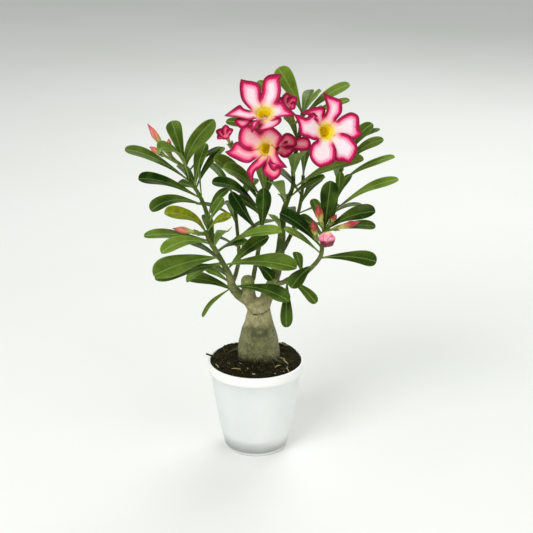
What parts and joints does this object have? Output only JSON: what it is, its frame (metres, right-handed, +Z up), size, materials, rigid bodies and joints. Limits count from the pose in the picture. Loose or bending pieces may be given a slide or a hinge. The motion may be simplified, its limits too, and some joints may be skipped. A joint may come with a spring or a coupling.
{
  "type": "potted desert rose",
  "caption": "Small potted desert rose with a swollen forked trunk, leafy branches, pink and white trumpet blooms and buds, in a plain white tapered pot filled with dark potting mix.",
  "frame": {"origin": "centre of the pot's flat foot", "axes": "+Z up along the pot's axis, +Y away from the side that the blooms face, +X to the right seen from that side"},
  "size_m": [0.2632, 0.1468, 0.3977],
  "materials": {
    "white_pot": "smooth satin white moulded plastic",
    "potting_mix": "dark crumbly potting mix with chips of bark",
    "bark": "smooth grey-green bark with fine cracks and rings",
    "foliage": "waxy glossy green leaves and smooth green stems",
    "corolla": "soft petals, white-pink with crimson margins and a yellow throat",
    "bud": "furled buds, salmon pink at the tip and yellow-green at the base"
  },
  "bodies": {
    "root": {"pot": "white_pot", "soil": "potting_mix", "trunk": "bark", "left": "foliage", "left_high": "foliage", "mid": "foliage", "centre": "foliage", "right_low": "foliage", "right_high": "foliage", "rear_left": "foliage", "rear_right": "foliage", "bloom_1": "corolla", "bloom_2": "corolla", "bloom_3": "corolla", "bloom_4": "corolla", "bloom_5": "corolla", "bloom_6": "corolla", "bud_1": "bud", "bud_2": "bud", "bud_3": "bud", "bud_4": "bud", "bud_5": "bud", "bud_6": "bud", "bud_7": "bud", "bud_8": "bud", "bud_9": "bud"}
  },
  "joints": []
}
